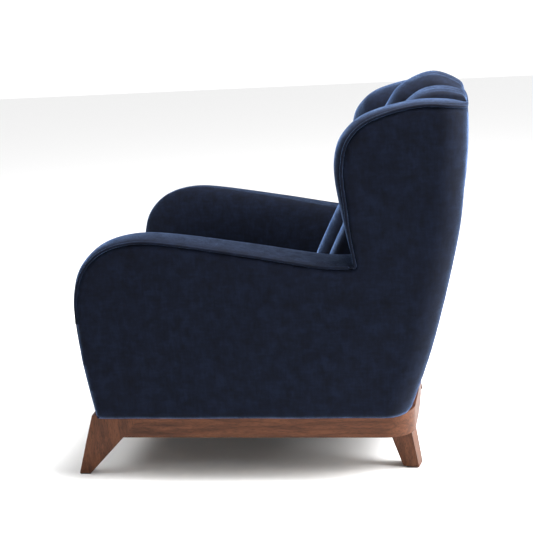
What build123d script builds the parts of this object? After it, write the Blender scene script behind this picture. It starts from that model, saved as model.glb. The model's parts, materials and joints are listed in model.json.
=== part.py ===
from build123d import *
import math
import os

# Upholstered wing armchair on a walnut plinth. Millimetres. The sitter faces -Y, +Z is up,
# and the origin is on the floor under the middle of the chair.

# Overall size
HALF_WIDTH = 430
FRONT_TIP = -523
REAR_SIDE = 513
REAR_LEAN = 153
REAR_CURVE = 1.85
REAR_TOP_Z = 906
HEIGHT = 1000

# Plinth and legs
PLINTH_BOTTOM = 108
PLINTH_TOP = 170
PLINTH_HALF = 380
PLINTH_WALL = 30
PLINTH_FRONT = -472
PLINTH_REAR = 372
PLINTH_CORNER = 75
PLINTH_BOW = 13
GLIDE = 3
FRONT_LEG_THICK = 45
FRONT_LEG_TOE = -492
LEG_JOINT_TOP = -339.5
LEG_JOINT_BOTTOM = -392
REAR_LEG_FOOT = (298, 362)
REAR_LEG_TOP = (300, 336)
REAR_LEG_TURN = 168
BLOCK_INNER = 285
BOLT_R = 4
BOLT_GAP = 0.3
BOLTS = [(308, -395), (312, 258)]

# Upholstered body
BODY_BOTTOM = 178
COVER = 12
CORNER = 70
BACK_BOW = 10
CREST_INSET = 14
PIPING_INSET = 8
PIPING_R = 4
ARM_REAR_Z = 571
WING_BASE_Z = 579
BACK_EDGE_Z = 932
CREST_REAR_Z = 948

# Wooden frame inside
FRAME_INSET = 30
FRAME_INNER = 350
BOARD = 12
SIDE_BOARD = 16
OUTER_BOARD_X = HALF_WIDTH - COVER
RAIL_TOP = 300
TOP_RAIL_Z = 915
SEAT_RAIL = 25
RAIL_FRONT = -407
RAIL_REAR = 120
STILE = 45
STILE_INNER = FRAME_INNER - STILE

# Inner back: the line that the webbing lies on, and the channels in front of it
BACK_LINE_Y = 150
BACK_LINE_Z = 330
BACK_LEAN = 0.49
STRAP = 2.5
CHANNEL_HALF = 95
CHANNEL_OUTER = 266

# Seat
ARM_INNER_FRONT = 320
ARM_INNER_REAR = 272
SPRING_R = 1.8
SPRING_BEND = 8
SPRING_Z = RAIL_TOP + 3
SPRING_PLACES = (-210, -105, 0, 105, 210)
DECK_TOP = 326
CUSHION_TOP = 456
FIT = 0.4

# Outlines seen from the side, as (Y, Z)
ARM_CREST = [(-446, 178), (-467, 297), (-486, 440), (-481, 522), (-456, 583), (-400, 631),
             (-319, 652), (-222, 646), (-31, 613), (150, 578), (231, ARM_REAR_Z)]
WING_CREST = [(231, ARM_REAR_Z), (211, 659), (192, 773), (195, 841), (218, 890), (272, 931),
              (378, 957), (460, 957), (511, CREST_REAR_Z)]
CENTRE_FACE = [(40, 330), (77, 450), (130, 569), (309, 918), (356, 973), (434, HEIGHT), (504, 972),
               (518, BACK_EDGE_Z + 9)]
SIDE_FACE = [(76, 330), (113, 450), (165, 569), (336, 902), (386, 957), (442, 974), (504, 960),
             (517, BACK_EDGE_Z + 9)]


def slab(edges, x0, x1):
    """Outline drawn as (Y, Z), extruded from x0 to x1."""
    face = make_face([Plane.YZ.offset(x0) * edge for edge in edges])
    return extrude(face, x1 - x0, dir=(1, 0, 0))


def polygon_slab(points, x0, x1):
    return slab([Polyline(*points, close=True)], x0, x1)


def block(x0, x1, y0, y1, z0, z1):
    return Pos((x0 + x1) / 2, (y0 + y1) / 2, (z0 + z1) / 2) * Box(x1 - x0, y1 - y0, z1 - z0)


def other_side(shape):
    return mirror(shape, about=Plane.YZ)


def back_y(z):
    """Webbing line of the inner back."""
    return BACK_LINE_Y + BACK_LEAN * (z - BACK_LINE_Z)


def outer_back_y(z):
    """Outside of the back at height z: upright at the top, leaning in towards the floor."""
    drop = max(REAR_TOP_Z - z, 0) / (REAR_TOP_Z - BODY_BOTTOM)
    return REAR_SIDE - REAR_LEAN * drop ** REAR_CURVE


def lean_slab(near, far, z0, z1, x0, x1):
    """Slab that leans with the inner back, from near to far behind the webbing line."""
    points = [(back_y(z0) + near, z0), (back_y(z1) + near, z1),
              (back_y(z1) + far, z1), (back_y(z0) + far, z0)]
    return polygon_slab(points, x0, x1)


def arm_inner_x(y):
    """Inner face of the arm in plan."""
    share = (y + 480) / 630
    return ARM_INNER_FRONT + (ARM_INNER_REAR - ARM_INNER_FRONT) * min(max(share, 0), 1)


# Body sections -----------------------------------------------------------------------------

def plan_section(z, inset):
    """Closed plan outline of the upholstered body at one height."""
    half = HALF_WIDTH - inset
    radius = CORNER - inset
    rear = outer_back_y(z) - inset
    mid = rear - radius
    turn = radius * math.sin(math.pi / 4)
    plane = Plane.XY.offset(z)
    edges = [
        Line((-half, FRONT_TIP), (half, FRONT_TIP)),
        Line((half, FRONT_TIP), (half, mid)),
        ThreePointArc((half, mid), (half - radius + turn, mid + turn), (half - radius, rear)),
        ThreePointArc((half - radius, rear), (0, rear + BACK_BOW), (radius - half, rear)),
        ThreePointArc((radius - half, rear), (radius - half - turn, mid + turn), (-half, mid)),
        Line((-half, mid), (-half, FRONT_TIP)),
    ]
    return make_face([plane * edge for edge in edges])


def body_block(inset):
    return loft([plan_section(z, inset) for z in range(158, HEIGHT + 40, 84)])


def moved_in(points, inset):
    """Outline points moved to the inner side, square to the outline."""
    moved = []
    for i, (y, z) in enumerate(points):
        before, after = points[max(i - 1, 0)], points[min(i + 1, len(points) - 1)]
        dy, dz = after[0] - before[0], after[1] - before[1]
        length = math.hypot(dy, dz)
        moved.append((y + inset * dz / length, z - inset * dy / length))
    return moved


def side_outline(inset):
    """Outline of one side of the body, arm and wing in one, seen from the side."""
    arm, wing = moved_in(ARM_CREST, inset), moved_in(WING_CREST, inset)
    edges = [Spline(*arm), Spline(*wing),
             Polyline(wing[-1], (600, wing[-1][1]), (600, 100), (arm[0][0], 100), arm[0])]
    if inset:
        edges.insert(1, Line(arm[-1], wing[0]))
    return make_face([Plane.YZ * edge for edge in edges])


def crest_band(inset, x0, x1, z0, z1):
    """Side outline, moved in by inset, kept between two heights and extruded."""
    shape = extrude(Pos(x0, 0, 0) * side_outline(inset), x1 - x0, dir=(1, 0, 0))
    return shape & block(x0, x1, FRONT_TIP, 620, z0, z1)


OUTER_BODY = body_block(0)
INNER_BODY = body_block(COVER)


# Plinth ------------------------------------------------------------------------------------

def plinth_side_rail():
    rear = PLINTH_REAR - PLINTH_CORNER
    return polygon_slab([(LEG_JOINT_TOP, PLINTH_TOP), (rear, PLINTH_TOP), (rear, PLINTH_BOTTOM),
                         (LEG_JOINT_BOTTOM, PLINTH_BOTTOM)], PLINTH_HALF - PLINTH_WALL, PLINTH_HALF)


def plinth_corner():
    centre = Pos(PLINTH_HALF - PLINTH_CORNER, PLINTH_REAR - PLINTH_CORNER, PLINTH_BOTTOM)
    height = PLINTH_TOP - PLINTH_BOTTOM
    ring = Cylinder(PLINTH_CORNER, height, align=(Align.CENTER, Align.CENTER, Align.MIN))
    ring -= Cylinder(PLINTH_CORNER - PLINTH_WALL, height, align=(Align.CENTER, Align.CENTER, Align.MIN))
    quarter = Box(PLINTH_CORNER, PLINTH_CORNER, height, align=(Align.MIN, Align.MIN, Align.MIN))
    return centre * (ring & quarter)


def plinth_rear_rail():
    half = PLINTH_HALF - PLINTH_CORNER
    front = PLINTH_REAR - PLINTH_WALL
    edges = [ThreePointArc((-half, PLINTH_REAR), (0, PLINTH_REAR + PLINTH_BOW), (half, PLINTH_REAR)),
             Line((half, PLINTH_REAR), (half, front)),
             ThreePointArc((half, front), (0, front + PLINTH_BOW), (-half, front)),
             Line((-half, front), (-half, PLINTH_REAR))]
    face = make_face([Plane.XY.offset(PLINTH_BOTTOM) * edge for edge in edges])
    return extrude(face, PLINTH_TOP - PLINTH_BOTTOM, dir=(0, 0, 1))


def front_leg():
    side = polygon_slab([(PLINTH_FRONT, PLINTH_TOP), (LEG_JOINT_TOP, PLINTH_TOP),
                         (LEG_JOINT_BOTTOM, PLINTH_BOTTOM), (FRONT_LEG_TOE, GLIDE),
                         (FRONT_TIP, GLIDE)], 300, 400)
    inner = PLINTH_HALF - FRONT_LEG_THICK
    taper = make_face(Plane.XZ.offset(600) * Polyline(
        (inner, PLINTH_TOP), (PLINTH_HALF, PLINTH_TOP), (PLINTH_HALF, PLINTH_BOTTOM),
        (PLINTH_HALF - 10, 0), (inner + 8, 0), (inner, PLINTH_BOTTOM), close=True))
    return side & extrude(taper, 400, dir=(0, 1, 0))


def rear_leg():
    turn = Rot(0, 0, REAR_LEG_TURN)
    foot = Plane.XY.offset(GLIDE) * Pos(*REAR_LEG_FOOT) * turn * Rectangle(42, 42)
    top = Plane.XY.offset(PLINTH_BOTTOM) * Pos(*REAR_LEG_TOP) * turn * Rectangle(52, 60)
    return loft([foot, top])


def leg_glides():
    front = (PLINTH_HALF - FRONT_LEG_THICK / 2 - 0.5, (FRONT_TIP + FRONT_LEG_TOE) / 2)
    places = [(*front, 26, 28), (*REAR_LEG_FOOT, 34, 34)]
    return [Pos(side * x, y, GLIDE / 2) * Box(w, d, GLIDE)
            for x, y, w, d in places for side in (1, -1)]


def bolt_hole(x, y):
    return Pos(x, y, PLINTH_TOP) * Cylinder(BOLT_R + BOLT_GAP, 140)


def plinth_blocks():
    low, inner = PLINTH_BOTTOM + 6, BLOCK_INNER + 5
    front = block(inner, 335, -427, -372, low, PLINTH_TOP) - bolt_hole(*BOLTS[0])
    rear = block(inner, 350, 235, 295, low, PLINTH_TOP) - bolt_hole(*BOLTS[1])
    return [front, rear, other_side(front), other_side(rear)]


def seat_blocks():
    outer, high = FRAME_INNER - SEAT_RAIL, PLINTH_TOP + 50
    front = block(BLOCK_INNER, outer, RAIL_FRONT, -362, PLINTH_TOP, high) - bolt_hole(*BOLTS[0])
    rear = block(BLOCK_INNER, outer, 235, 280, PLINTH_TOP, high) - bolt_hole(*BOLTS[1])
    return [front, rear, other_side(front), other_side(rear)]


def body_bolts():
    bolts = []
    for x, y in BOLTS:
        shank = Pos(x, y, 162) * Cylinder(BOLT_R, 96)
        head = Pos(x, y, PLINTH_BOTTOM + 3) * Cylinder(BOLT_R * 2, 6)
        bolts += [shank + head, other_side(shank + head)]
    return bolts


# Wooden frame ------------------------------------------------------------------------------

def seat_rail_front():
    return block(-FRAME_INNER, FRAME_INNER, RAIL_FRONT - SEAT_RAIL, RAIL_FRONT, PLINTH_TOP, RAIL_TOP)


def seat_rail_side():
    return block(FRAME_INNER - SEAT_RAIL, FRAME_INNER, RAIL_FRONT, 285, PLINTH_TOP, RAIL_TOP)


def seat_rail_rear():
    half = FRAME_INNER - SEAT_RAIL
    return block(-half, half, RAIL_REAR, RAIL_REAR + SEAT_RAIL, RAIL_TOP - 70, RAIL_TOP)


def frame_zone(x0, x1, z0=BODY_BOTTOM, z1=ARM_REAR_Z - 3, inset=FRAME_INSET):
    """Part of the side frame: the side outline moved in, inside the covers."""
    return crest_band(inset, x0, x1, z0, z1) & INNER_BODY


def arm_outer_board():
    return frame_zone(OUTER_BOARD_X - SIDE_BOARD, OUTER_BOARD_X - 0.2)


def arm_inner_board():
    board = frame_zone(FRAME_INNER, FRAME_INNER + BOARD)
    foot = block(FRAME_INNER, FRAME_INNER + BOARD, -400, 280, PLINTH_TOP, BODY_BOTTOM)
    return board + foot


def arm_edge_strip():
    """Solid strip between the arm boards that follows the outline."""
    x0, x1 = FRAME_INNER + BOARD, OUTER_BOARD_X - SIDE_BOARD
    return frame_zone(x0, x1) - frame_zone(x0 - 1, x1 + 1, 0, ARM_REAR_Z, FRAME_INSET + 28)


def arm_front_post():
    return arm_edge_strip() & block(300, 450, -500, -380, BODY_BOTTOM + 30, 700)


def arm_top_rail():
    return arm_edge_strip() & block(300, 450, -380, 200, 400, 700)


def wing_board():
    x1 = OUTER_BOARD_X - SIDE_BOARD
    board = frame_zone(x1 - 15, x1, 400, 930)
    return board & block(300, 450, 262, 600, 400, WING_BASE_Z + 40) + (
        board & block(300, 450, 185, 600, WING_BASE_Z + 40, 930))


def back_post():
    heights = [PLINTH_TOP + 86 * i for i in range(9)]
    rear = [(outer_back_y(z) - COVER - 3, z) for z in heights]
    front = [(y - STILE, z) for y, z in reversed(rear)]
    return polygon_slab(rear + front, STILE_INNER, FRAME_INNER)


def inner_stile():
    stile = lean_slab(0, STILE, RAIL_TOP, 858, STILE_INNER, FRAME_INNER)
    return stile - back_post()


def back_top_rail():
    points = [(back_y(860), 860), (back_y(TOP_RAIL_Z), TOP_RAIL_Z), (496, TOP_RAIL_Z), (494, 860)]
    return polygon_slab(points, -FRAME_INNER, FRAME_INNER)


def back_middle_rail():
    return lean_slab(0, 25, 590, 640, -STILE_INNER, STILE_INNER)


def back_lower_rail():
    return lean_slab(0, 25, 330, 380, -STILE_INNER, STILE_INNER)


def outer_bottom_rail():
    near = outer_back_y(PLINTH_TOP) - COVER - 3
    return block(-STILE_INNER, STILE_INNER, near - SEAT_RAIL, near, PLINTH_TOP, 240)


# Springs, webbing and linings --------------------------------------------------------------

def seat_spring(x):
    """Sinuous wire from the front clip to the rear clip: cross bars joined by rounded bends."""
    start, end, reach, bars = -420, 133, 24, 14
    step = (end - start) / (bars + 1)
    points = [(x, start, SPRING_Z)]
    for i in range(bars):
        y = start + step * (i + 1)
        side = reach if i % 2 == 0 else -reach
        points += [(points[-1][0], y, SPRING_Z), (x + side, y, SPRING_Z)]
    points += [(points[-1][0], end - step / 2, SPRING_Z), (x, end - step / 2, SPRING_Z),
               (x, end, SPRING_Z)]
    path = FilletPolyline(*points, radius=SPRING_BEND)
    return sweep(Plane(origin=path @ 0, z_dir=path % 0) * Circle(SPRING_R), path=path)


def spring_clips():
    clips = []
    for x in SPRING_PLACES:
        for y in (-424, 136):
            clip = block(x - 9, x + 9, y - 8, y + 8, RAIL_TOP, RAIL_TOP + 7)
            slot = block(x - 3, x + 3, y - 9, y + 9, RAIL_TOP + 0.5, RAIL_TOP + 5.5)
            clips.append(clip - slot)
    return clips


def back_webbing():
    heights = (350, 430, 510, 590, 670, 750, 820)
    return [lean_slab(-STRAP, -0.1, z, z + 50, 5 - FRAME_INNER, FRAME_INNER - 5) for z in heights]


def seat_deck():
    front, rear = -405, 116
    half_front, half_rear = arm_inner_x(front) - 2, arm_inner_x(rear) - 2
    face = make_face(Plane.XY.offset(RAIL_TOP + 8) * Polyline(
        (-half_front, front), (half_front, front), (half_rear, rear), (-half_rear, rear), close=True))
    return extrude(face, DECK_TOP - RAIL_TOP - 8, dir=(0, 0, 1))


def dust_cover():
    return block(-284, 284, -426, 335, PLINTH_TOP - 3, PLINTH_TOP - 0.5)


# Upholstery --------------------------------------------------------------------------------

def behind_webbing(gap):
    """Space behind the webbing line, inside the side frames."""
    top = TOP_RAIL_Z + 1
    return polygon_slab([(back_y(BODY_BOTTOM) - gap, BODY_BOTTOM), (back_y(top) - gap, top),
                         (620, top), (620, BODY_BOTTOM)], 0, FRAME_INNER)


def inner_wedge(points):
    """Space between the two sides in plan, from the middle out to an inner face."""
    outline = [(0, FRONT_TIP), (points[0][0], FRONT_TIP)] + points + [(points[-1][0], 620), (0, 620)]
    face = make_face(Plane.XY * Polyline(*outline, close=True))
    return extrude(face, HEIGHT + 50, dir=(0, 0, 1))


def arm_padding():
    pad = crest_band(0, 200, OUTER_BOARD_X, BODY_BOTTOM, ARM_REAR_Z - 0.3) & INNER_BODY
    pad += crest_band(0, 200, OUTER_BOARD_X, ARM_REAR_Z - 1, 700) & block(200, 430, FRONT_TIP, 190, 0, 700)
    pad -= inner_wedge([(ARM_INNER_FRONT, -480), (ARM_INNER_REAR, 150)])
    pad -= crest_band(FRAME_INSET, FRAME_INNER, HALF_WIDTH, 0, 700)
    pad -= block(200, FRAME_INNER, -434, 620, 0, RAIL_TOP + 2)
    return pad - behind_webbing(STRAP + 0.5)


def wing_padding():
    pad = crest_band(0, 200, OUTER_BOARD_X, WING_BASE_Z, HEIGHT) & INNER_BODY
    pad &= block(200, 430, 185, 620, WING_BASE_Z, HEIGHT)
    pad -= inner_wedge([(330, 190), (ARM_INNER_REAR, 330)])
    pad -= crest_band(FRAME_INSET, OUTER_BOARD_X - SIDE_BOARD - 15, OUTER_BOARD_X - SIDE_BOARD, 0, 930)
    return pad - behind_webbing(STRAP + 0.5)


def cover_shell():
    return OUTER_BODY - body_block(COVER - 0.2)


def outer_side_cover():
    panel = crest_band(CREST_INSET, FRAME_INNER, HALF_WIDTH + 5, BODY_BOTTOM, BACK_EDGE_Z)
    return cover_shell() & panel


def outer_back_cover():
    return cover_shell() & block(-FRAME_INNER, FRAME_INNER, 200, 620, BODY_BOTTOM, BACK_EDGE_Z)


def channel(points, x0, x1):
    """Padded channel of the inner back, sewn over the top down to the rear edge."""
    gap, over_rail, behind_rail = STRAP + 0.5, TOP_RAIL_Z + 2, 498
    edges = [Spline(*points),
             Polyline(points[-1], (behind_rail, points[-1][1]), (behind_rail, over_rail),
                      (back_y(over_rail) - gap, over_rail),
                      (back_y(points[0][1]) - gap, points[0][1]), points[0])]
    return slab(edges, x0, x1)


def front_border():
    return polygon_slab([(-442, BODY_BOTTOM), (-466, 300), (-462, 318), (-452, DECK_TOP),
                         (-408, DECK_TOP), (-408, RAIL_TOP + 7.5), (-433, RAIL_TOP + 7.5),
                         (-433, BODY_BOTTOM)], 6 - ARM_INNER_FRONT, ARM_INNER_FRONT - 6)


def seat_cushion():
    """Loose boxed cushion between the arms, its back end sloped like the inner back."""
    profile = [(-474, DECK_TOP + FIT), (-474, CUSHION_TOP - 14), (-460, CUSHION_TOP),
               (56, CUSHION_TOP), (70, CUSHION_TOP - 14), (34, DECK_TOP + FIT)]
    box = polygon_slab(profile, -400, 400)
    gap = 3
    plan = make_face(Plane.XY * Polyline(
        (-arm_inner_x(-480) + gap, -480), (arm_inner_x(-480) - gap, -480),
        (arm_inner_x(90) - gap, 90), (gap - arm_inner_x(90), 90), close=True))
    return box & extrude(plan, HEIGHT, dir=(0, 0, 1))


def piping(path):
    return sweep(Plane(origin=path @ 0, z_dir=path % 0) * Circle(PIPING_R), path=path)


def side_piping():
    """Covered cord along the edge of the side panel: along the arm, then up the wing."""
    x = OUTER_BOARD_X + PIPING_R + 0.1
    arm = moved_in(ARM_CREST, PIPING_INSET)[1:]
    wing = [arm[-1]] + moved_in(WING_CREST, PIPING_INSET)[1:-1]
    runs = [piping(Spline(*[(x, y, z) for y, z in points])) for points in (arm, wing)]
    return runs[0] + runs[1]


def back_piping():
    """Covered cord along the top edge of the outer back."""
    y, z = outer_back_y(BACK_EDGE_Z) - PIPING_R, BACK_EDGE_Z + PIPING_R + 0.1
    half = HALF_WIDTH - CORNER
    return piping(ThreePointArc((-half, y, z), (0, y + BACK_BOW, z), (half, y, z)))


def write(name, *solids):
    shape = solids[0] if len(solids) == 1 else Compound(children=list(solids))
    export_step(shape, f"parts/{name}.step")


def write_pair(name, made):
    shapes = made if isinstance(made, list) else [made]
    write(f"{name}_left", *shapes)
    write(f"{name}_right", *[other_side(shape) for shape in shapes])


os.makedirs("parts", exist_ok=True)

PAIRS = {
    "plinth_side_rail": plinth_side_rail, "plinth_corner": plinth_corner, "front_leg": front_leg,
    "rear_leg": rear_leg, "seat_rail": seat_rail_side, "arm_outer_board": arm_outer_board,
    "arm_inner_board": arm_inner_board, "arm_front_post": arm_front_post,
    "arm_top_rail": arm_top_rail, "wing_board": wing_board, "back_post": back_post,
    "back_stile": inner_stile, "arm_padding": arm_padding, "wing_padding": wing_padding,
    "outer_side_cover": outer_side_cover, "side_piping": side_piping,
}
for pair_name, make in PAIRS.items():
    write_pair(pair_name, make())
write_pair("back_channel", channel(SIDE_FACE, CHANNEL_HALF + 2, CHANNEL_OUTER))

write("plinth_rear_rail", plinth_rear_rail())
write("plinth_front_rail", block(-335, 335, PLINTH_FRONT, -427, PLINTH_BOTTOM, PLINTH_TOP))
write("leg_glides", *leg_glides())
write("plinth_corner_blocks", *plinth_blocks())
write("seat_corner_blocks", *seat_blocks())
write("body_bolts", *body_bolts())
write("seat_rail_front", seat_rail_front())
write("seat_rail_rear", seat_rail_rear())
write("back_top_rail", back_top_rail())
write("back_middle_rail", back_middle_rail())
write("back_lower_rail", back_lower_rail())
write("outer_bottom_rail", outer_bottom_rail())
write("seat_springs", *[seat_spring(x) for x in SPRING_PLACES])
write("spring_clips", *spring_clips())
write("back_webbing", *back_webbing())
write("seat_deck", seat_deck())
write("dust_cover", dust_cover())
write("outer_back_cover", outer_back_cover())
write("back_channel_center", channel(CENTRE_FACE, -CHANNEL_HALF, CHANNEL_HALF))
write("back_piping", back_piping())
write("front_border", front_border())
write("seat_cushion", seat_cushion())
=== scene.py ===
import json
import math

import bmesh
import bpy
import numpy as np
from mathutils import Matrix, Vector, geometry


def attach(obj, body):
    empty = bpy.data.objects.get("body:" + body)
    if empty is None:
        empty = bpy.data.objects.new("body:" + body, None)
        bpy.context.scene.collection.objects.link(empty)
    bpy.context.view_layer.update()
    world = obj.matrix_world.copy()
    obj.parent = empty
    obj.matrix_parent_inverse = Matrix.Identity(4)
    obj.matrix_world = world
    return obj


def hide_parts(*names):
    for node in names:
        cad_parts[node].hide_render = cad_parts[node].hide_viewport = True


# Looks of the upholstered wing armchair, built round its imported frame. Lengths in metres.

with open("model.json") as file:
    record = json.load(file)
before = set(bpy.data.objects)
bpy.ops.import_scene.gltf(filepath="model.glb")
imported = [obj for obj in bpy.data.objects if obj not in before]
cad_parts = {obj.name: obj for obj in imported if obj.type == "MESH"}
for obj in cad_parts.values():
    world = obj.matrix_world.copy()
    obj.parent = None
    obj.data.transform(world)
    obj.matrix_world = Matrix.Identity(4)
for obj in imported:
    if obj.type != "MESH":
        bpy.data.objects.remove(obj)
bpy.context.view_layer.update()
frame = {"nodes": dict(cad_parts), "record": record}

BODY_BOTTOM = 0.178
HALF_WIDTH = 0.430
PANEL_EDGE_X = 0.4245
CORNER = 0.070
BACK_BOW = 0.010
REAR_SIDE = 0.513
REAR_LEAN = 0.153
BACK_EDGE_Z = 0.936
PIPING_R = 0.0038
BORDER_HALF = 0.3193

# Room of the loose seat cushion, and the heights of its two cords
CUSHION_LOW, CUSHION_HIGH = 0.3265, 0.462
CUSHION_FRONT, CUSHION_REAR = -0.474, 0.066
CUSHION_SIDE_GAP = 0.005
CORD_INSET = 0.011
CORDS = (("cushion_piping_top", 0.438, 0.0), ("cushion_piping_bottom", 0.336, -0.024))

# Camera and studio
CAMERA_PLACE = (3.05, 0.411, 1.190)
CAMERA_YAW, CAMERA_PITCH, CAMERA_ROLL = 8.46, 13.09, 3.17
CAMERA_LENS = 75.2
SENSOR_WIDTH = 36
FLOOR_HALF = 14
AMBIENT = 0.40
BACKDROP = 1.1

# Outlines seen from the side, as (y, z)
ARM_CREST = [(-0.446, 0.178), (-0.467, 0.297), (-0.486, 0.440), (-0.481, 0.522), (-0.456, 0.583),
             (-0.400, 0.631), (-0.319, 0.652), (-0.222, 0.646), (-0.031, 0.613), (0.150, 0.578),
             (0.231, 0.573)]
WING_CREST = [(0.231, 0.571), (0.211, 0.659), (0.192, 0.773), (0.195, 0.841), (0.218, 0.890),
              (0.272, 0.931), (0.378, 0.957), (0.460, 0.957), (0.511, 0.946)]
CENTRE_FACE = [(0.040, 0.330), (0.077, 0.450), (0.130, 0.569), (0.215, 0.735), (0.309, 0.918),
               (0.356, 0.973), (0.434, 1.000), (0.504, 0.972), (0.518, 0.941)]
SIDE_FACE = [(0.076, 0.330), (0.113, 0.450), (0.165, 0.569), (0.247, 0.735), (0.336, 0.902),
             (0.386, 0.957), (0.442, 0.974), (0.502, 0.962), (0.517, 0.941)]


# Curves and meshes -------------------------------------------------------------------------

def through(points, count):
    """Smooth curve through points, as evenly spaced samples."""
    pts = np.array(points, float)
    ghost = np.vstack([2 * pts[0] - pts[1], pts, 2 * pts[-1] - pts[-2]])
    fine = []
    for p0, p1, p2, p3 in zip(ghost, ghost[1:], ghost[2:], ghost[3:]):
        for t in np.linspace(0, 1, 24, endpoint=False):
            fine.append(0.5 * (2 * p1 + (p2 - p0) * t + (2 * p0 - 5 * p1 + 4 * p2 - p3) * t ** 2
                               + (3 * p1 - p0 - 3 * p2 + p3) * t ** 3))
    fine = np.array(fine + [pts[-1]])
    run = np.concatenate([[0], np.cumsum(np.linalg.norm(np.diff(fine, axis=0), axis=1))])
    even = np.linspace(0, run[-1], count)
    return np.stack([np.interp(even, run, fine[:, k]) for k in range(fine.shape[1])], axis=1)


def inward(curve):
    """Unit directions to the inner side of a (y, z) curve that runs up and to the rear."""
    slope = np.gradient(curve, axis=0)
    slope /= np.linalg.norm(slope, axis=1)[:, None]
    return np.stack([slope[:, 1], -slope[:, 0]], axis=1)


def ramp(value, points):
    """Straight interpolation through (value, result) points."""
    xs, ys = zip(*points)
    return np.interp(value, xs, ys)


def new_mesh(name, verts, faces, material):
    mesh = bpy.data.meshes.new(name)
    mesh.from_pydata([tuple(map(float, v)) for v in verts], [], faces)
    mesh.validate()
    mesh.polygons.foreach_set("use_smooth", [True] * len(mesh.polygons))
    obj = bpy.data.objects.new(name, mesh)
    bpy.context.scene.collection.objects.link(obj)
    obj.data.materials.append(material)
    return obj


def tidy_normals(obj, merge=0.00005):
    work = bmesh.new()
    work.from_mesh(obj.data)
    bmesh.ops.remove_doubles(work, verts=work.verts, dist=merge)
    bmesh.ops.recalc_face_normals(work, faces=work.faces)
    work.to_mesh(obj.data)
    work.free()


def grid_faces(rows, cols, closed=False):
    faces = []
    for i in range(rows - 1):
        for j in range(cols if closed else cols - 1):
            k = (j + 1) % cols
            faces.append((i * cols + j, i * cols + k, (i + 1) * cols + k, (i + 1) * cols + j))
    return faces


def fill(loop, spacing):
    """Points and triangles that fill a closed 2-D loop, with a grid of points inside it."""
    loop = np.array(loop)
    low, high = loop.min(axis=0), loop.max(axis=0)
    ys, zs = np.arange(low[0], high[0], spacing), np.arange(low[1], high[1], spacing)
    grid = np.array([(y, z) for y in ys for z in zs])
    near = np.min(np.linalg.norm(grid[:, None] - loop[None], axis=2), axis=1) > spacing * 0.6
    points = [Vector(p) for p in loop] + [Vector(p) for p in grid[near]]
    count = len(loop)
    edges = [(i, (i + 1) % count) for i in range(count)]
    verts, _, faces, *_ = geometry.delaunay_2d_cdt(points, edges, [list(range(count))], 1, 1e-6)
    return np.array([tuple(v) for v in verts]), [tuple(f) for f in faces]


def mirrored(obj, name):
    """The same piece on the other side."""
    twin = obj.copy()
    twin.data = obj.data.copy()
    twin.name = name
    twin.data.transform(Matrix.Scale(-1, 4, (1, 0, 0)))
    twin.data.flip_normals()
    bpy.context.scene.collection.objects.link(twin)
    return twin


def tube(name, points, radius, material, closed=False):
    """Round cord through points, as a mesh."""
    curve = bpy.data.curves.new(name, "CURVE")
    curve.dimensions = "3D"
    curve.bevel_depth = radius
    curve.bevel_resolution = 4
    curve.use_fill_caps = True
    line = curve.splines.new("POLY")
    line.points.add(len(points) - 1)
    for spot, place in zip(line.points, points):
        spot.co = (*place, 1)
    line.use_cyclic_u = closed
    obj = bpy.data.objects.new(name, curve)
    bpy.context.scene.collection.objects.link(obj)
    mesh = bpy.data.meshes.new_from_object(obj)
    bpy.data.objects.remove(obj)
    made = bpy.data.objects.new(name, mesh)
    bpy.context.scene.collection.objects.link(made)
    mesh.materials.clear()
    mesh.materials.append(material)
    mesh.polygons.foreach_set("use_smooth", [True] * len(mesh.polygons))
    return made


# Materials ---------------------------------------------------------------------------------

class Shader:
    """Short way to build a procedural material."""

    def __init__(self, name):
        self.material = bpy.data.materials.new(name)
        self.material.use_nodes = True
        self.tree = self.material.node_tree
        self.surface = self.tree.nodes["Principled BSDF"]

    def add(self, kind, **values):
        node = self.tree.nodes.new(kind)
        for key, value in values.items():
            if hasattr(node, key) and not isinstance(value, tuple):
                setattr(node, key, value)
            else:
                node.inputs[key].default_value = value
        return node

    def link(self, source, target):
        self.tree.links.new(source, target)

    def noise(self, scale, detail=4.0, stretch=(1, 1, 1), rough=0.5, distortion=0.0):
        place = self.add("ShaderNodeTexCoord")
        mapping = self.add("ShaderNodeMapping")
        mapping.inputs["Scale"].default_value = stretch
        node = self.add("ShaderNodeTexNoise")
        node.inputs["Scale"].default_value = scale
        node.inputs["Detail"].default_value = detail
        node.inputs["Roughness"].default_value = rough
        node.inputs["Distortion"].default_value = distortion
        self.link(place.outputs["Object"], mapping.inputs["Vector"])
        self.link(mapping.outputs["Vector"], node.inputs["Vector"])
        return node.outputs["Fac"]

    def colours(self, source, stops):
        node = self.add("ShaderNodeValToRGB")
        ramp_ = node.color_ramp
        while len(ramp_.elements) < len(stops):
            ramp_.elements.new(0.5)
        for element, (place, colour) in zip(ramp_.elements, stops):
            element.position = place
            element.color = (*colour, 1)
        self.link(source, node.inputs["Fac"])
        return node.outputs["Color"]

    def bump(self, source, distance, strength=1.0, before=None):
        node = self.add("ShaderNodeBump")
        node.inputs["Strength"].default_value = strength
        node.inputs["Distance"].default_value = distance
        self.link(source, node.inputs["Height"])
        if before is not None:
            self.link(before, node.inputs["Normal"])
        return node.outputs["Normal"]


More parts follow.
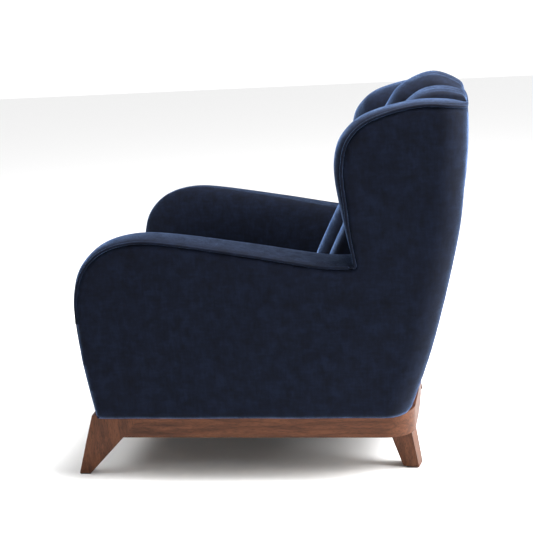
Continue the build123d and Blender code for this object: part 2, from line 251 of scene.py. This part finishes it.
def velvet(name="velvet"):
    """Short dark blue pile: soft sheen, clouded nap and fine crossed weave marks."""
    s = Shader(name)
    cloud = s.noise(30.0, 5.0, rough=0.7, distortion=0.3)
    streak = s.noise(150.0, 3.0, stretch=(1, 1, 0.22), rough=0.65)
    weft = s.noise(150.0, 3.0, stretch=(0.22, 0.22, 1), rough=0.65)
    pile = s.noise(1900.0, 2.0)
    both = s.add("ShaderNodeMath", operation="ADD")
    s.link(streak, both.inputs[0])
    s.link(weft, both.inputs[1])
    mottle = s.add("ShaderNodeMath", operation="MULTIPLY_ADD")
    s.link(both.outputs[0], mottle.inputs[0])
    mottle.inputs[1].default_value = 0.5
    s.link(cloud, mottle.inputs[2])
    half = s.add("ShaderNodeMath", operation="MULTIPLY")
    s.link(mottle.outputs[0], half.inputs[0])
    half.inputs[1].default_value = 0.5
    colour = s.colours(half.outputs[0], [(0.40, (0.0006, 0.0015, 0.0048)),
                                         (0.5, (0.0013, 0.0029, 0.0088)),
                                         (0.60, (0.0025, 0.0051, 0.0145))])
    s.link(colour, s.surface.inputs["Base Color"])
    sheen = s.colours(half.outputs[0], [(0.42, (0.060, 0.120, 0.280)), (0.58, (0.170, 0.270, 0.500))])
    s.link(sheen, s.surface.inputs["Sheen Tint"])
    s.surface.inputs["Sheen Weight"].default_value = 1.0
    s.surface.inputs["Sheen Roughness"].default_value = 0.30
    s.surface.inputs["Roughness"].default_value = 0.85
    s.surface.inputs["Specular IOR Level"].default_value = 0.10
    nap = s.bump(half.outputs[0], 0.0012, 0.30)
    s.link(s.bump(pile, 0.0004, 0.5, nap), s.surface.inputs["Normal"])
    return s.material


def walnut(name, stretch):
    """Oiled walnut: long dark grain with open pores."""
    s = Shader(name)
    grain = s.noise(9.0, 8.0, stretch=stretch, rough=0.62, distortion=1.2)
    pores = s.noise(120.0, 3.0, stretch=stretch, rough=0.7)
    colour = s.colours(grain, [(0.30, (0.036, 0.0105, 0.0035)), (0.48, (0.072, 0.0225, 0.0080)),
                               (0.62, (0.108, 0.0370, 0.0140)), (0.78, (0.054, 0.0165, 0.0060))])
    dark = s.colours(pores, [(0.36, (0.45, 0.45, 0.45)), (0.5, (1, 1, 1))])
    mix = s.add("ShaderNodeMix", data_type="RGBA", blend_type="MULTIPLY")
    mix.inputs[0].default_value = 1.0
    s.link(colour, mix.inputs[6])
    s.link(dark, mix.inputs[7])
    s.link(mix.outputs[2], s.surface.inputs["Base Color"])
    s.surface.inputs["Roughness"].default_value = 0.5
    s.surface.inputs["Specular IOR Level"].default_value = 0.18
    s.link(s.bump(pores, 0.0003, 0.4), s.surface.inputs["Normal"])
    return s.material


def raw_wood(name, light, dark, stretch):
    """Unfinished frame timber or the veneer of a board."""
    s = Shader(name)
    grain = s.noise(14.0, 6.0, stretch=stretch, rough=0.6, distortion=0.8)
    s.link(s.colours(grain, [(0.35, dark), (0.65, light)]), s.surface.inputs["Base Color"])
    s.surface.inputs["Roughness"].default_value = 0.75
    s.link(s.bump(grain, 0.0005, 0.3), s.surface.inputs["Normal"])
    return s.material


def steel():
    s = Shader("steel")
    wear = s.noise(300.0, 4.0, stretch=(1, 0.1, 1))
    s.link(s.colours(wear, [(0.3, (0.30, 0.31, 0.33)), (0.7, (0.60, 0.61, 0.63))]),
           s.surface.inputs["Base Color"])
    s.surface.inputs["Metallic"].default_value = 1.0
    s.surface.inputs["Roughness"].default_value = 0.35
    return s.material


def woven(name, light, dark, pitch):
    """Coarse plain weave of webbing and lining."""
    s = Shader(name)
    place = s.add("ShaderNodeTexCoord")
    waves = []
    for direction in ("X", "Z"):
        wave = s.add("ShaderNodeTexWave", bands_direction=direction)
        wave.inputs["Scale"].default_value = 0.314 / pitch
        wave.inputs["Distortion"].default_value = 0.4
        s.link(place.outputs["Object"], wave.inputs["Vector"])
        waves.append(wave.outputs["Fac"])
    cross = s.add("ShaderNodeMath", operation="MULTIPLY")
    s.link(waves[0], cross.inputs[0])
    s.link(waves[1], cross.inputs[1])
    s.link(s.colours(cross.outputs[0], [(0.1, dark), (0.7, light)]), s.surface.inputs["Base Color"])
    s.surface.inputs["Roughness"].default_value = 0.95
    s.link(s.bump(cross.outputs[0], 0.0008, 0.6), s.surface.inputs["Normal"])
    return s.material


def plastic():
    s = Shader("black_plastic")
    grit = s.noise(900.0, 3.0)
    s.link(s.colours(grit, [(0.3, (0.010, 0.010, 0.010)), (0.7, (0.026, 0.025, 0.024))]),
           s.surface.inputs["Base Color"])
    s.surface.inputs["Roughness"].default_value = 0.6
    s.link(s.bump(grit, 0.0002, 0.4), s.surface.inputs["Normal"])
    return s.material


VELVET = velvet()
WALNUT_SIDE = walnut("walnut_along_y", (6, 0.5, 6))
WALNUT_CROSS = walnut("walnut_along_x", (0.5, 6, 6))
WALNUT_LEG = walnut("walnut_leg", (6, 5, 0.7))
FRAME_WOOD = raw_wood("frame_wood", (0.58, 0.42, 0.26), (0.42, 0.28, 0.16), (4, 1, 4))
PLYWOOD = raw_wood("plywood", (0.62, 0.48, 0.31), (0.47, 0.33, 0.20), (4, 0.6, 3))
STEEL = steel()
WEBBING = woven("webbing", (0.12, 0.10, 0.08), (0.02, 0.018, 0.015), 0.003)
LINING = woven("lining", (0.040, 0.040, 0.042), (0.010, 0.010, 0.011), 0.0016)
PLASTIC = plastic()


def finish_frame():
    """Gives each CAD node that stays on show its material."""
    by_slot = {"frame_wood": FRAME_WOOD, "plywood": PLYWOOD, "steel": STEEL, "webbing": WEBBING,
               "lining": LINING, "black_plastic": PLASTIC, "velvet": VELVET, "walnut": WALNUT_CROSS}
    slots = {p["node"]: p["material_slot"] for p in frame["record"]["subparts"]}
    for node, obj in frame["nodes"].items():
        material = by_slot[slots[node]]
        if "plinth_side" in node or "plinth_corner_l" in node or "plinth_corner_r" in node:
            material = WALNUT_SIDE
        if "_leg_" in node and "glides" not in node:
            material = WALNUT_LEG
        obj.data.materials.clear()
        obj.data.materials.append(material)


# Outer shape of the body -------------------------------------------------------------------

def rear_y(z):
    drop = np.clip(0.906 - z, 0, None) / (0.906 - BODY_BOTTOM)
    return REAR_SIDE - REAR_LEAN * drop ** 1.85


def outer_x(y, z):
    """Half width of the body in plan, round the rear corner."""
    past = np.clip(y - (rear_y(z) - CORNER), 0, CORNER)
    return HALF_WIDTH - CORNER + np.sqrt(np.clip(CORNER ** 2 - past ** 2, 0, None))


def arm_crown(curve):
    """How far the band rises over the panel edge along the arm."""
    run = np.linspace(0, 1, len(curve))
    return ramp(run, [(0, 0.003), (0.14, 0.004), (0.24, 0.013), (0.34, 0.016), (0.5, 0.013),
                      (0.75, 0.011), (1, 0.008)])


def wing_crown(curve):
    run = np.linspace(0, 1, len(curve))
    return ramp(run, [(0, 0.006), (0.10, 0.010), (0.25, 0.019), (0.42, 0.023), (0.55, 0.018),
                      (0.72, 0.012), (0.9, 0.010), (1, 0.006)])


ARM = through(ARM_CREST, 150)
WING = through(WING_CREST, 110)
ARM_IN, WING_IN = inward(ARM), inward(WING)
ARM_EDGE = ARM + ARM_IN * arm_crown(ARM)[:, None]
WING_EDGE = WING + WING_IN * wing_crown(WING)[:, None]
MEET = np.array([0.238, 0.566])


def panel_edge():
    """Edge of the side panel: up the arm, into the tuck, up the wing and back to the corner."""
    arm = ARM_EDGE[ARM_EDGE[:, 0] < 0.226]
    wing = WING_EDGE[(WING_EDGE[:, 1] > 0.580) & (WING_EDGE[:, 0] < 0.425)]
    return arm, wing


def sheet_place(s, z):
    """Point of the outer cloth: along the side, round the rear corner, then along the back."""
    start = rear_y(z) - CORNER
    turn = CORNER * math.pi / 2
    angle = np.clip((s - start) / CORNER, 0, math.pi / 2)
    past = np.clip(s - start - turn, 0, None)
    x = np.where(past > 0, HALF_WIDTH - CORNER - past,
                 HALF_WIDTH - CORNER + CORNER * np.cos(angle))
    y = np.where(s <= start, s, start + CORNER * np.sin(angle))
    y = y + np.where(past > 0, BACK_BOW * (1 - (x / (HALF_WIDTH - CORNER)) ** 2), 0)
    normal = np.stack([np.cos(angle), np.sin(angle)], axis=-1)
    return x, y, normal


def outer_cover():
    """Side panels and outer back in one cloth, without a seam at the rear corners."""
    arm, wing = panel_edge()
    reach = rear_y(BACK_EDGE_Z) - CORNER + CORNER * math.pi / 2 + HALF_WIDTH - CORNER
    low_reach = rear_y(BODY_BOTTOM) - CORNER + CORNER * math.pi / 2 + HALF_WIDTH - CORNER
    top_run = np.linspace(0.436, reach, 60)
    top_z = ramp(top_run, [(0.425, wing[-1][1]), (0.50, BACK_EDGE_Z + 0.004), (0.56, BACK_EDGE_Z),
                           (2, BACK_EDGE_Z)])
    middle_z = np.linspace(BACK_EDGE_Z, BODY_BOTTOM, 60)[1:-1]
    middle = rear_y(middle_z) + (reach - rear_y(BACK_EDGE_Z))
    bottom = np.linspace(low_reach, arm[0][0], 110)
    loop = np.vstack([arm, [MEET], wing, np.stack([top_run, top_z], 1),
                      np.stack([middle, middle_z], 1),
                      np.stack([bottom, np.full(len(bottom), BODY_BOTTOM)], 1)[:-1]])
    flat, faces = fill(loop, 0.012)
    edge = np.vstack([arm, [MEET], wing, np.stack([top_run, top_z], 1)])
    distance = np.min(np.linalg.norm(flat[:, None] - edge[None], axis=2), axis=1)
    x, y, normal = sheet_place(flat[:, 0], flat[:, 1])
    puff = 0.0055 * np.clip(1 - distance / 0.022, 0, 1) ** 2
    lip = np.clip(1 - (flat[:, 1] - BODY_BOTTOM) / 0.010, 0, 1)
    puff += 0.005 * (1 - np.sqrt(np.clip(1 - lip ** 2, 0, 1)))
    away_from_edge = np.clip(distance / 0.06, 0, 1)
    ripple = 0.0011 * np.sin(flat[:, 0] * 23 + 3 * np.sin(flat[:, 1] * 9)) * away_from_edge
    x, y = x - normal[:, 0] * (puff + ripple), y - normal[:, 1] * (puff + ripple)
    verts = np.stack([x, y, flat[:, 1]], 1)
    half = new_mesh("outer_cover", verts, faces, VELVET)
    twin = mirrored(half, "outer_cover_twin")
    joined = join([half, twin], "outer_cover")
    tidy_normals(joined, 0.0006)
    thick = joined.modifiers.new("cloth", "SOLIDIFY")
    thick.thickness = 0.003
    thick.offset = -1
    apply_modifiers(joined)
    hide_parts("outer_side_cover_left", "outer_side_cover_right", "outer_back_cover")
    return joined


def join(objects, name):
    bpy.ops.object.select_all(action="DESELECT")
    for obj in objects:
        obj.select_set(True)
    bpy.context.view_layer.objects.active = objects[0]
    bpy.ops.object.join()
    objects[0].name = name
    return objects[0]


def apply_modifiers(obj):
    graph = bpy.context.evaluated_depsgraph_get()
    mesh = bpy.data.meshes.new_from_object(obj.evaluated_get(graph))
    obj.modifiers.clear()
    old = obj.data
    obj.data = mesh
    bpy.data.meshes.remove(old)
    mesh.polygons.foreach_set("use_smooth", [True] * len(mesh.polygons))


# Padded sides ------------------------------------------------------------------------------

def arm_inner(y):
    return ramp(y, [(-0.48, 0.320), (0.150, 0.272)])


def wing_inner(y):
    return ramp(y, [(0.190, 0.315), (0.235, 0.272)])


def roll(name, curve, direction, crown, crest_x, inner_x, depth, closing, nodes):
    """Padded roll over a side outline: band, crest, and down the inner face, closed behind.

    closing lists the hidden corners that bring the outline back to its start.
    """
    rings = []
    outer_steps, inner_steps = 10, 16
    outer = np.minimum(PANEL_EDGE_X, outer_x(curve[:, 0], curve[:, 1]) - 0.0055)
    crest = np.minimum(crest_x, outer - 0.012)
    for a in np.linspace(0, math.pi / 2, outer_steps, endpoint=False):
        x = crest + (outer - crest) * math.cos(a)
        d = crown * (1 - math.sin(a))
        rings.append(np.column_stack([x, curve + direction * d[:, None]]))
    for b in np.linspace(0, math.pi / 2, inner_steps):
        spot = curve + direction * (depth * (1 - math.cos(b)))[:, None]
        face = inner_x(spot[:, 0])
        x = crest - (crest - face) * math.sin(b)
        rings.append(np.column_stack([x, spot]))
    rows, cols = len(rings), len(curve)
    verts, faces = list(np.vstack(rings)), grid_faces(rows, cols)
    for ring, x_of, spacing in ((rings[-1], inner_x, 0.016), (rings[0], None, 0.03)):
        loop = np.vstack([ring[:, 1:], closing])
        flat, tris = fill(loop, spacing)
        x = x_of(flat[:, 0]) if x_of else np.full(len(flat), outer.min())
        base = len(verts)
        verts += list(np.column_stack([x, flat]))
        faces += [tuple(base + i for i in t) for t in tris]
    obj = new_mesh(name + "_left", verts, faces, VELVET)
    tidy_normals(obj, 0.0004)
    pair = [obj, mirrored(obj, name + "_right")]
    for piece, side in zip(pair, ("left", "right")):
        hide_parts(*[f"{node}_{side}" for node in nodes])
    return pair


def arm_rolls():
    crest = ramp(ARM[:, 0], [(-0.45, 0.372), (0.25, 0.308)])
    depth = ramp(np.linspace(0, 1, len(ARM)), [(0, 0.008), (0.115, 0.026), (0.2, 0.06), (0.35, 0.12),
                                               (0.5, 0.16), (1, 0.15)])
    closing = [(0.250, 0.500), (0.310, 0.440), (0.300, 0.205), (-0.37, 0.205)]
    return roll("arm_roll", ARM, ARM_IN, arm_crown(ARM), crest, arm_inner, depth, closing,
                ["arm_padding"])


def wing_rolls():
    crest = np.full(len(WING), 0.371)
    depth = ramp(np.linspace(0, 1, len(WING)), [(0, 0.055), (0.5, 0.065), (0.8, 0.050), (1, 0.02)])
    closing = [(0.495, 0.880), (0.420, 0.560), (0.300, 0.545)]
    return roll("wing_roll", WING, WING_IN, wing_crown(WING), crest, wing_inner, depth, closing,
                ["wing_padding"])


def pipings():
    """Covered cords along the panel edges and along the top of the outer back."""
    arm, wing = panel_edge()
    x = PANEL_EDGE_X + 0.0015
    arm_run = through([(x, y, z) for y, z in list(arm[34::6]) + [arm[-1], MEET]], 140)
    top = [(x, y, z) for y, z in wing[::6]]
    corner = []
    for s in (0.445, 0.475, 0.505, 0.535, 0.56, 0.65, 0.80):
        px, py, normal = sheet_place(np.array(s), np.array(BACK_EDGE_Z))
        z = ramp(s, [(0.425, wing[-1][1]), (0.50, BACK_EDGE_Z + 0.004), (0.56, BACK_EDGE_Z)])
        corner.append((float(px - normal[0] * 0.003), float(py - normal[1] * 0.003), float(z) + 0.001))
    middle = (0.0, REAR_SIDE + BACK_BOW - 0.003, BACK_EDGE_Z + 0.001)
    half = [(x, MEET[0], MEET[1])] + top + corner
    whole = half + [middle] + [(-px, py, pz) for px, py, pz in reversed(half)]
    wing_run = through(whole, 620)
    left = tube("arm_piping_left", arm_run, PIPING_R, VELVET)
    right = mirrored(left, "arm_piping_right")
    back = tube("wing_and_back_piping", wing_run, PIPING_R, VELVET)
    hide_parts("side_piping_left")
    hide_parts("side_piping_right")
    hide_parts("back_piping")
    return [left, right, back]


# Channels, cushion and border --------------------------------------------------------------

def channel(name, face, x0, x1, crown, outer=1.0):
    """One stuffed channel of the inner back, crowned between its two seams.

    outer scales how far it sinks at its second side, where it is tucked against the wing.
    """
    path = through(face, 110)
    direction = inward(path)
    run = np.linspace(0, 1, len(path))
    swell = ramp(run, [(0, 0.7), (0.1, 1), (0.86, 1), (0.96, 0.62), (1, 0.22)])
    across = np.linspace(-1, 1, 29)
    centre, half = (x0 + x1) / 2, (x1 - x0) / 2
    verts = []
    for (point, normal, grow, t) in zip(path, direction, swell, run):
        for a in across:
            sink = crown * grow * (1 - (1 - abs(a) ** 2.4) ** 0.5) * (outer if a > 0 else 1)
            pleat = 0.0022 * math.sin(a * 19) * ramp(t, [(0.80, 0), (0.93, 1), (1, 1)]) * (1 - abs(a))
            y, z = point + normal * (sink + pleat)
            verts.append((centre + a * half, y, z))
    rows, cols = len(path), len(across)
    faces = grid_faces(rows, cols)
    back = [(0.498, 0.935), (0.498, 0.919), (0.432, 0.919), (0.149, 0.332)]
    base = len(verts)
    for a in (across[0], across[-1]):
        for y, z in back:
            verts.append((centre + a * half, y, z))
    for side, start in ((0, base), (cols - 1, base + len(back))):
        loop = [i * cols + side for i in range(rows)] + [start + k for k in range(len(back))]
        faces.append(tuple(loop if side == 0 else reversed(loop)))
    for k in range(len(back) - 1):
        faces.append((base + k, base + k + 1, base + len(back) + k + 1, base + len(back) + k))
    faces.append(tuple([(rows - 1) * cols + j for j in range(cols)] + [base + len(back), base]))
    last = len(back) - 1
    faces.append(tuple([j for j in range(cols)] + [base + len(back) + last, base + last]))
    obj = new_mesh(name, verts, faces, VELVET)
    tidy_normals(obj, 0.00001)
    return obj


def channels():
    middle = channel("channel_center", CENTRE_FACE, -0.0945, 0.0945, 0.052)
    left = channel("channel_left", SIDE_FACE, 0.0955, 0.2715, 0.050, outer=0.4)
    right = mirrored(left, "channel_right")
    made = [middle, left, right]
    for obj, place in zip(made, ("center", "left", "right")):
        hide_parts(f"back_channel_{place}")
    return made


def rounded_box(name, plan, z0, z1, radius, inset):
    """Closed box with rounded edges over a plan outline, slightly smaller than its place."""
    work = bmesh.new()
    low = [work.verts.new((x, y, z0 + inset)) for x, y in plan]
    high = [work.verts.new((x, y, z1 - inset)) for x, y in plan]
    work.faces.new(list(reversed(low)))
    work.faces.new(high)
    for i in range(len(plan)):
        k = (i + 1) % len(plan)
        work.faces.new((low[i], low[k], high[k], high[i]))
    bmesh.ops.bevel(work, geom=list(work.edges), offset=radius, segments=4, affect="EDGES")
    mesh = bpy.data.meshes.new(name)
    work.to_mesh(mesh)
    work.free()
    obj = bpy.data.objects.new(name, mesh)
    bpy.context.scene.collection.objects.link(obj)
    mesh.materials.append(VELVET)
    return obj


def remesh(obj, size):
    change = obj.modifiers.new("remesh", "REMESH")
    change.mode = "VOXEL"
    change.voxel_size = size
    apply_modifiers(obj)


def inflate(obj, pressure, cap, frames=20):
    """Cloth simulation that fills the piece with air, with each point's travel capped."""
    before = np.array([tuple(v.co) for v in obj.data.vertices])
    cloth = obj.modifiers.new("cloth", "CLOTH")
    cloth.settings.use_pressure = True
    cloth.settings.uniform_pressure_force = pressure
    cloth.settings.effector_weights.gravity = 0
    cloth.settings.quality = 5
    cloth.point_cache.frame_end = frames
    for number in range(1, frames + 1):
        bpy.context.scene.frame_set(number)
    graph = bpy.context.evaluated_depsgraph_get()
    mesh = obj.evaluated_get(graph).to_mesh()
    after = np.array([tuple(v.co) for v in mesh.vertices])
    obj.evaluated_get(graph).to_mesh_clear()
    obj.modifiers.clear()
    bpy.context.scene.frame_set(1)
    move = after - before
    length = np.linalg.norm(move, axis=1)[:, None]
    move *= np.minimum(1, cap / np.maximum(length, 1e-9))
    for vertex, place in zip(obj.data.vertices, before + move):
        vertex.co = place


def cushion_outline(inset):
    """Corners of the cushion in plan, moved in by inset."""
    front, rear = CUSHION_FRONT + inset, CUSHION_REAR - inset
    half_front = arm_inner(front) - CUSHION_SIDE_GAP - inset
    half_rear = arm_inner(rear) - CUSHION_SIDE_GAP - inset
    return [(half_front, front), (half_rear, rear), (-half_rear, rear), (-half_front, front)]


def seat_cushion():
    """Loose boxed seat cushion, filled by a pressure simulation."""
    plan = [(float(x), float(y)) for x, y in cushion_outline(0.010)]
    obj = rounded_box("cushion", plan, CUSHION_LOW, CUSHION_HIGH - 0.014, 0.012, 0.005)
    remesh(obj, 0.009)
    inflate(obj, 4.0, 0.016)
    for vertex in obj.data.vertices:
        x, y, z = vertex.co
        limit = arm_inner(y) - 0.003
        vertex.co.x = min(max(x, -limit), limit)
        slope = (z - CUSHION_LOW) / (CUSHION_HIGH - CUSHION_LOW)
        vertex.co.y = min(max(y, -0.478), 0.036 + 0.036 * slope)
        vertex.co.z = min(max(z, CUSHION_LOW), CUSHION_HIGH + 0.006)
    soften = obj.modifiers.new("soften", "SMOOTH")
    soften.iterations = 4
    finer = obj.modifiers.new("finer", "SUBSURF")
    finer.levels = 1
    apply_modifiers(obj)
    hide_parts("seat_cushion")
    return obj


def cushion_pipings():
    """Covered cords round the top and bottom edges of the seat cushion."""
    made = []
    for name, z, rear_pull in CORDS:
        corners = cushion_outline(CORD_INSET)
        points = []
        for i, (x, y) in enumerate(corners):
            after = corners[(i + 1) % 4]
            for t in np.linspace(0.04, 0.96, 12):
                px, py = x + (after[0] - x) * t, y + (after[1] - y) * t
                points.append((float(px), float(py + (rear_pull if py > 0 else 0)), z))
        loop = through(points + [points[0]], 300)[:-1]
        made.append(tube(name, loop, PIPING_R, VELVET, closed=True))
    return made


def front_border():
    """Padded front panel under the cushion."""
    outline = through([(-0.438, 0.174), (-0.448, 0.205), (-0.464, 0.262), (-0.468, 0.300),
                       (-0.461, 0.320), (-0.440, 0.3262)], 40)
    direction = inward(outline)
    across = np.linspace(-1, 1, 60)
    verts = []
    for (y, z), (ny, nz) in zip(outline, direction):
        for a in across:
            sink = 0.008 * abs(a) ** 8
            verts.append((a * BORDER_HALF, y + ny * sink, z + nz * sink))
    cols = len(across)
    faces = grid_faces(len(outline), cols)
    obj = new_mesh("front_border_cover", verts, faces, VELVET)
    thick = obj.modifiers.new("pad", "SOLIDIFY")
    thick.thickness = 0.005
    thick.offset = 1
    apply_modifiers(obj)
    tidy_normals(obj)
    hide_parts("front_border")
    return obj


# Studio ------------------------------------------------------------------------------------

def camera():
    yaw, pitch, turn = (math.radians(v) for v in (CAMERA_YAW, CAMERA_PITCH, CAMERA_ROLL))
    ahead = Vector((-math.cos(yaw) * math.cos(pitch), -math.sin(yaw) * math.cos(pitch),
                    -math.sin(pitch)))
    right = Vector((-math.sin(yaw), math.cos(yaw), 0))
    down = ahead.cross(right)
    right_turned = math.cos(turn) * right + math.sin(turn) * down
    down_turned = -math.sin(turn) * right + math.cos(turn) * down
    data = bpy.data.cameras.new("camera")
    data.lens = CAMERA_LENS
    data.sensor_width = SENSOR_WIDTH
    obj = bpy.data.objects.new("camera", data)
    basis = Matrix((right_turned, -down_turned, -ahead)).transposed().to_4x4()
    obj.matrix_world = Matrix.Translation(CAMERA_PLACE) @ basis
    bpy.context.scene.collection.objects.link(obj)
    bpy.context.scene.camera = obj
    return obj


def area(name, place, target, size, power, colour=(1, 1, 1)):
    data = bpy.data.lights.new(name, "AREA")
    data.shape = "RECTANGLE"
    data.size, data.size_y = size
    data.energy = power
    data.color = colour
    obj = bpy.data.objects.new(name, data)
    aim = Vector(target) - Vector(place)
    obj.matrix_world = Matrix.Translation(place) @ aim.to_track_quat("-Z", "Y").to_matrix().to_4x4()
    bpy.context.scene.collection.objects.link(obj)
    return obj


def floor():
    mesh = bpy.data.meshes.new("floor")
    h = FLOOR_HALF
    mesh.from_pydata([(-h, -h, 0), (h, -h, 0), (h, h, 0), (-h, h, 0)], [], [(0, 1, 2, 3)])
    obj = bpy.data.objects.new("floor", mesh)
    bpy.context.scene.collection.objects.link(obj)
    s = Shader("floor")
    s.surface.inputs["Base Color"].default_value = (0.96, 0.96, 0.96, 1)
    s.surface.inputs["Roughness"].default_value = 0.6
    mesh.materials.append(s.material)


def studio():
    floor()
    world = bpy.data.worlds.new("studio")
    world.use_nodes = True
    tree = world.node_tree
    background = tree.nodes["Background"]
    background.inputs["Color"].default_value = (1, 1, 1, 1)
    path = tree.nodes.new("ShaderNodeLightPath")
    strength = tree.nodes.new("ShaderNodeMapRange")
    strength.inputs["To Min"].default_value = AMBIENT
    strength.inputs["To Max"].default_value = BACKDROP
    tree.links.new(path.outputs["Is Camera Ray"], strength.inputs["Value"])
    tree.links.new(strength.outputs["Result"], background.inputs["Strength"])
    bpy.context.scene.world = world
    bpy.context.scene.view_settings.view_transform = "Standard"
    sky = bpy.data.lights.new("sky", "SUN")
    sky.energy = 2.4
    sky.angle = math.radians(50)
    sun = bpy.data.objects.new("sky", sky)
    sun.matrix_world = Vector((-0.45, 0.75, 1.0)).to_track_quat("Z", "Y").to_matrix().to_4x4()
    bpy.context.scene.collection.objects.link(sun)
    area("rear_window", (0.5, 3.0, 1.9), (0, 0.3, 0.7), (1.8, 2.2), 280)
    area("top", (0.3, 0.6, 2.6), (0, 0.25, 0.9), (1.2, 1.2), 140)
    area("front", (0.5, -1.9, 2.3), (-0.3, 0, 0.5), (1.4, 1.4), 30)


# Assembly ----------------------------------------------------------------------------------

finish_frame()
chair_pieces = [outer_cover(), front_border()] + pipings()
padded_pieces = arm_rolls() + wing_rolls() + channels()
for piece in chair_pieces + padded_pieces:
    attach(piece, "chair")
cushion = seat_cushion()
for piece in [cushion] + cushion_pipings():
    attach(piece, "cushion")

camera()
studio()
